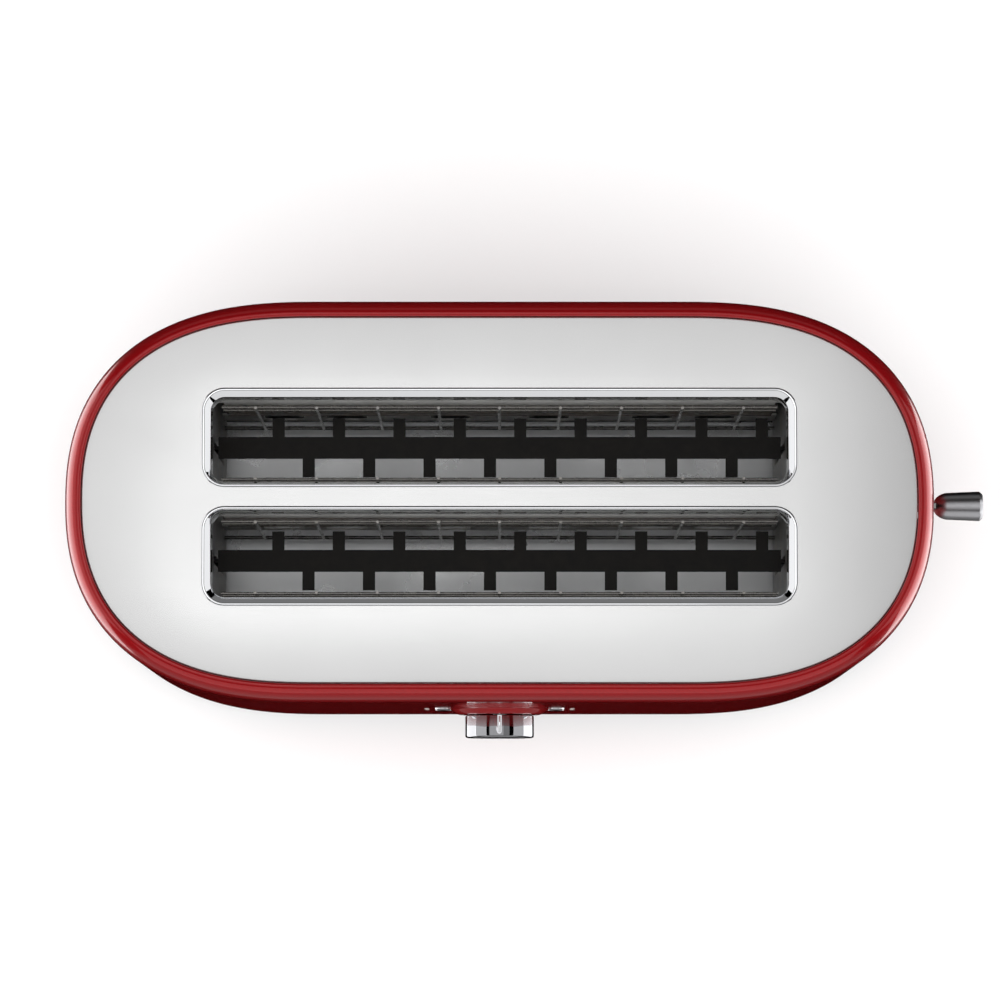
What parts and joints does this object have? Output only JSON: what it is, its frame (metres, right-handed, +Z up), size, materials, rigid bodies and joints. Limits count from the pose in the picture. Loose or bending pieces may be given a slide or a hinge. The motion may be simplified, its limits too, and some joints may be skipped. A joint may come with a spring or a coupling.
{
  "type": "pop up toaster",
  "caption": "Long-slot pop-up toaster: rounded red metal body, flat satin steel top with bevelled slots, side lever, round front dial and keys, removable crumb tray.",
  "frame": {"origin": "middle of the whole object's footprint, on the surface that the feet stand on", "axes": "+X towards the lever along the slots, +Y to the back, away from the dial, +Z up"},
  "size_m": [0.4324, 0.2038, 0.1965],
  "materials": {
    "red_enamel": "deep glossy red enamel, smooth, mirror-like clear reflections",
    "satin_steel": "fine satin stainless sheet, soft even sheen",
    "chrome_plate": "bright polished chrome",
    "charcoal_plastic": "moulded charcoal plastic, fine matt grain",
    "foot_rubber": "matt black rubber",
    "zinc_steel": "zinc-plated sheet steel, dull grey",
    "wire_steel": "heat-darkened steel",
    "mica_board": "layered mica sheet, silvery grey with flakes",
    "nichrome_ribbon": "oxidised resistance ribbon, dark grey",
    "circuit_board": "green printed circuit board",
    "dark_component": "dark component case",
    "copper_winding": "lacquered copper wire",
    "clear_lens": "milky translucent plastic"
  },
  "bodies": {
    "housing": {"body_shell": "red_enamel", "top_plate": "satin_steel", "slot_bezel_front": "chrome_plate", "slot_bezel_rear": "chrome_plate", "guide_rod_left": "chrome_plate", "guide_rod_right": "chrome_plate", "base_pan": "charcoal_plastic", "cord_gland": "charcoal_plastic", "relay": "charcoal_plastic", "foot_front_left": "foot_rubber", "foot_rear_left": "foot_rubber", "foot_front_right": "foot_rubber", "foot_rear_right": "foot_rubber", "chassis_screw_front_left": "zinc_steel", "chassis_screw_rear_left": "zinc_steel", "chassis_screw_front_right": "zinc_steel", "chassis_screw_rear_right": "zinc_steel", "end_plate_right": "zinc_steel", "end_plate_left": "zinc_steel", "reflector_front": "zinc_steel", "reflector_rear": "zinc_steel", "lift_spring_left": "zinc_steel", "lift_spring_right": "zinc_steel", "heater_board_front_inner": "mica_board", "heater_board_front_outer": "mica_board", "heater_board_rear_inner": "mica_board", "heater_board_rear_outer": "mica_board", "heater_winding_front_inner": "nichrome_ribbon", "heater_winding_front_outer": "nichrome_ribbon", "heater_winding_rear_inner": "nichrome_ribbon", "heater_winding_rear_outer": "nichrome_ribbon", "control_board": "circuit_board", "power_board": "circuit_board", "potentiometer": "dark_component", "electromagnet": "copper_winding", "indicator_left": "clear_lens", "indicator_right": "clear_lens"},
    "carriage": {"bread_rack_front": "wire_steel", "bread_rack_rear": "wire_steel", "carriage_bracket_right": "zinc_steel", "carriage_bracket_left": "zinc_steel", "latch_keeper": "zinc_steel", "lever_arm": "zinc_steel", "lever_knob": "chrome_plate"},
    "crumb_drawer": {"crumb_tray": "zinc_steel", "crumb_tray_handle": "charcoal_plastic"},
    "dial": {"control_knob": "chrome_plate", "knob_pointer": "chrome_plate", "control_shaft": "zinc_steel"},
    "key_lower_left": {"button_lower_left": "chrome_plate"},
    "key_upper_left": {"button_upper_left": "chrome_plate"},
    "key_lower_right": {"button_lower_right": "chrome_plate"},
    "key_upper_right": {"button_upper_right": "chrome_plate"},
    "guard_front_inner": {"bread_guard_front_inner": "wire_steel"},
    "guard_front_outer": {"bread_guard_front_outer": "wire_steel"},
    "guard_rear_inner": {"bread_guard_rear_inner": "wire_steel"},
    "guard_rear_outer": {"bread_guard_rear_outer": "wire_steel"}
  },
  "joints": [
    {"name": "carriage_lift", "type": "slide", "parent": "housing", "child": "carriage", "axis": [0, 0, -1], "range_m": [-0.014, 0.08], "stiffness_N_per_m": 150, "springref_m": -0.0155, "deforming": ["lift_spring_left", "lift_spring_right"]},
    {"name": "crumb_drawer_slide", "type": "slide", "parent": "housing", "child": "crumb_drawer", "axis": [-1, 0, 0], "range_m": [0, 0.26]},
    {"name": "dial_turn", "type": "hinge", "parent": "housing", "child": "dial", "pos_m": [-0.01265, -0.08805, 0.09], "axis": [0, 1, 0], "range_deg": [-130, 130]},
    {"name": "key_lower_left_press", "type": "slide", "parent": "housing", "child": "key_lower_left", "axis": [0, 1, 0], "range_m": [0, 0.0008], "stiffness_N_per_m": 1200, "springref_m": -0.0003},
    {"name": "key_upper_left_press", "type": "slide", "parent": "housing", "child": "key_upper_left", "axis": [0, 1, 0], "range_m": [0, 0.0008], "stiffness_N_per_m": 1200, "springref_m": -0.0003},
    {"name": "key_lower_right_press", "type": "slide", "parent": "housing", "child": "key_lower_right", "axis": [0, 1, 0], "range_m": [0, 0.0008], "stiffness_N_per_m": 1200, "springref_m": -0.0003},
    {"name": "key_upper_right_press", "type": "slide", "parent": "housing", "child": "key_upper_right", "axis": [0, 1, 0], "range_m": [0, 0.0008], "stiffness_N_per_m": 1200, "springref_m": -0.0003},
    {"name": "guard_front_inner_tilt", "type": "hinge", "parent": "housing", "child": "guard_front_inner", "pos_m": [-0.01265, -0.00255, 0.05], "axis": [1, 0, 0], "range_deg": [-0.7, 3.4]},
    {"name": "guard_front_outer_tilt", "type": "hinge", "parent": "housing", "child": "guard_front_outer", "pos_m": [-0.01265, -0.03655, 0.05], "axis": [-1, 0, 0], "range_deg": [-0.7, 3.4]},
    {"name": "guard_rear_inner_tilt", "type": "hinge", "parent": "housing", "child": "guard_rear_inner", "pos_m": [-0.01265, 0.01725, 0.05], "axis": [-1, 0, 0], "range_deg": [-0.7, 3.4]},
    {"name": "guard_rear_outer_tilt", "type": "hinge", "parent": "housing", "child": "guard_rear_outer", "pos_m": [-0.01265, 0.05125, 0.05], "axis": [1, 0, 0], "range_deg": [-0.7, 3.4]}
  ],
  "couplings": [
    {"joint": "guard_front_inner_tilt", "follows": "carriage_lift", "rad_per_m": 0.7},
    {"joint": "guard_front_outer_tilt", "follows": "carriage_lift", "rad_per_m": 0.7},
    {"joint": "guard_rear_inner_tilt", "follows": "carriage_lift", "rad_per_m": 0.7},
    {"joint": "guard_rear_outer_tilt", "follows": "carriage_lift", "rad_per_m": 0.7}
  ]
}
